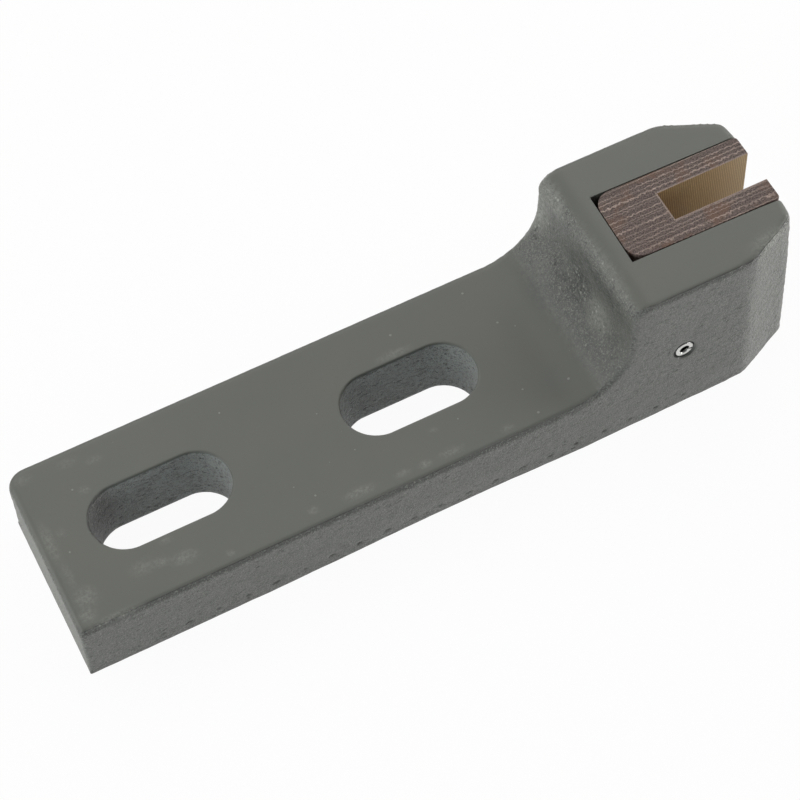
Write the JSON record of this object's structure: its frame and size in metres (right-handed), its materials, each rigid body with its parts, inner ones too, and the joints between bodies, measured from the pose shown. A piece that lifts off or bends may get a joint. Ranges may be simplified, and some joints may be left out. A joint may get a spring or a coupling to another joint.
{
  "type": "elevator guide shoe",
  "caption": "Cast-iron sliding guide shoe: a flat arm with slotted bolt holes and a raised head whose laminate insert slides along the blade of a guide rail.",
  "frame": {"origin": "centre of the foot's outline, on the flat mounting face", "axes": "+X along the arm towards the head that grips the rail, +Z from the foot up along the guide rail, Y across the rail's blade"},
  "size_m": [0.2, 0.051, 0.05],
  "materials": {
    "painted_casting": "thin matt grey paint over sand-cast iron",
    "fabric_laminate": "sawn and milled cotton-fabric phenolic laminate, brown, plies edge-on",
    "spring_steel": "bright rolled spring steel"
  },
  "bodies": {
    "root": {"shoe_body": "painted_casting", "guide_insert": "fabric_laminate", "spring_pin": "spring_steel"}
  },
  "joints": []
}
